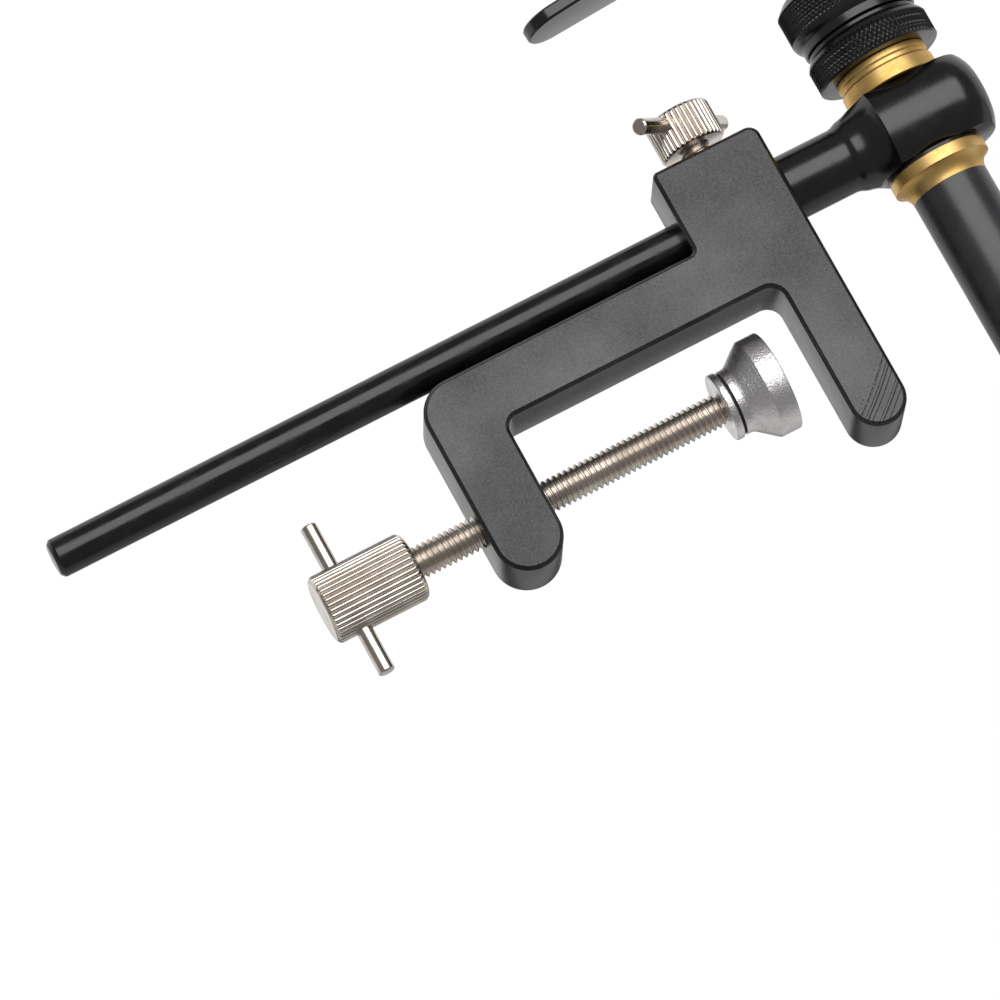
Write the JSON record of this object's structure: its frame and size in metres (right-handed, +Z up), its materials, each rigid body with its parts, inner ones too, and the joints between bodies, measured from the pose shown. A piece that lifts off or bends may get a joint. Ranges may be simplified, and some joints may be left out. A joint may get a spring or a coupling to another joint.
{
  "type": "fly tying vise",
  "caption": "Rotary fly tying vise with a C-clamp base, sliding stem, spinning cam-locked jaw head and knurled controls.",
  "frame": {"origin": "on the clamp's table jaw, the flat underside of the upper arm, on the clamp screw's axis and in the clamp plate's middle plane", "axes": "+Z up along the stem to the head, +X out along the clamp's arms and the hook jaws, +Y away from the picture's camera"},
  "size_m": [0.1731, 0.0316, 0.2425],
  "materials": {
    "clamp_enamel": "glossy black enamel",
    "soft_tip": "plain nylon",
    "nickel": "warm nickel plate",
    "pad_nickel": "turned and plated",
    "pad_rubber": "matt black",
    "bare_steel": "ground steel",
    "stem_black": "blackened rod",
    "housing_black": "gloss black anodised",
    "screw_black": "black oxide",
    "bronze": "oiled bronze",
    "barrel_black": "satin black anodised",
    "washer_black": "smooth black",
    "gold": "gold anodised",
    "drag_white": "slippery plastic",
    "knurl_black": "black anodised, diamond knurled",
    "jaw_steel": "hardened tool steel",
    "spring_steel": "coiled wire",
    "lever_black": "gloss black anodised"
  },
  "bodies": {
    "clamp": {"clamp_frame": "clamp_enamel"},
    "tip": {"lock_tip": "soft_tip"},
    "lock": {"lock_screw": "nickel", "lock_knob": "nickel", "lock_tommy_bar": "nickel"},
    "pad": {"pressure_pad": "pad_nickel", "pad_ring": "pad_rubber", "pad_cover_disc": "pad_nickel"},
    "screw": {"clamp_screw": "nickel", "pad_ball": "bare_steel", "clamp_knob": "nickel", "clamp_tommy_bar": "nickel"},
    "post": {"stem": "stem_black"},
    "head": {"head_housing": "housing_black", "stem_set_screw": "screw_black", "front_bush": "bronze", "rear_bush": "bronze"},
    "rotor": {"barrel": "barrel_black", "front_washer": "washer_black", "front_collar": "gold", "rear_collar": "gold", "drag_washer": "drag_white", "rotation_knob": "knurl_black", "knob_set_screw": "screw_black", "closing_sleeve": "jaw_steel"},
    "drag": {"drag_ring": "knurl_black"},
    "thrust": {"thrust_washer": "bare_steel"},
    "adjuster": {"adjuster_nut": "knurl_black"},
    "puller": {"drawbar": "jaw_steel", "drawbar_eye": "jaw_steel", "cam_pin": "bare_steel", "spring_seat": "bare_steel", "return_spring": "spring_steel", "jaw_carrier": "jaw_steel", "jaw_pins": "bare_steel", "jaw_spring": "spring_steel"},
    "lever": {"cam_lever": "lever_black"},
    "near_jaw": {"jaw_near": "jaw_steel"},
    "far_jaw": {"jaw_far": "jaw_steel"}
  },
  "joints": [
    {"name": "pad_travel", "type": "slide", "parent": "clamp", "child": "pad", "axis": [0, 0, 1], "range_m": [-0.0465, 0.0095]},
    {"name": "clamp_screw_turn", "type": "hinge", "parent": "pad", "child": "screw", "pos_m": [0, 0, -0.06], "axis": [0, 0, 1], "range_deg": [-11865, 2425]},
    {"name": "lock_tip_travel", "type": "slide", "parent": "clamp", "child": "tip", "axis": [-1, 0, 0], "range_m": [0, 0.002]},
    {"name": "lock_screw_turn", "type": "hinge", "parent": "tip", "child": "lock", "pos_m": [-0.06, 0, 0.00005], "axis": [-1, 0, 0], "range_deg": [0, 512]},
    {"name": "stem_slide", "type": "slide", "parent": "clamp", "child": "post", "axis": [0, 0, 1], "range_m": [0, 0.15]},
    {"name": "head_turn", "type": "hinge", "parent": "post", "child": "head", "pos_m": [-0.0396, 0, 0.02], "axis": [0, 0, 1], "range_deg": [-150, 150]},
    {"name": "head_spin", "type": "hinge", "parent": "head", "child": "rotor", "pos_m": [-0.0396, 0, 0.0483], "axis": [1, 0, 0], "continuous": true},
    {"name": "drag_ring_turn", "type": "hinge", "parent": "rotor", "child": "drag", "pos_m": [-0.06, 0, 0.0483], "axis": [1, 0, 0], "range_deg": [-30, 30]},
    {"name": "adjuster_travel", "type": "slide", "parent": "rotor", "child": "thrust", "axis": [1, 0, 0], "range_m": [0, 0.001]},
    {"name": "adjuster_turn", "type": "hinge", "parent": "thrust", "child": "adjuster", "pos_m": [-0.092, 0, 0.0483], "axis": [1, 0, 0], "range_deg": [0, 360]},
    {"name": "drawbar_slide", "type": "slide", "parent": "rotor", "child": "puller", "axis": [1, 0, 0], "range_m": [0, 0.002]},
    {"name": "lever_swing", "type": "hinge", "parent": "puller", "child": "lever", "pos_m": [-0.10725, 0, 0.0483], "axis": [0, 1, 0], "range_deg": [0, 90]},
    {"name": "near_jaw_open", "type": "hinge", "parent": "puller", "child": "near_jaw", "pos_m": [-0.00725, -0.0018, 0.0483], "axis": [0, 0, 1], "range_deg": [-0.48, 0]},
    {"name": "far_jaw_open", "type": "hinge", "parent": "puller", "child": "far_jaw", "pos_m": [-0.00725, 0.0018, 0.0483], "axis": [0, 0, 1], "range_deg": [0, 0.48]}
  ],
  "couplings": [
    {"joint": "clamp_screw_turn", "follows": "pad_travel", "rad_per_m": 4453},
    {"joint": "lock_screw_turn", "follows": "lock_tip_travel", "rad_per_m": 4453},
    {"joint": "adjuster_turn", "follows": "adjuster_travel", "rad_per_m": 6283.2},
    {"joint": "lever_swing", "follows": "drawbar_slide", "rad_per_m": 785.39},
    {"joint": "near_jaw_open", "follows": "drawbar_slide", "rad_per_m": -4.16},
    {"joint": "far_jaw_open", "follows": "drawbar_slide", "rad_per_m": 4.16}
  ]
}
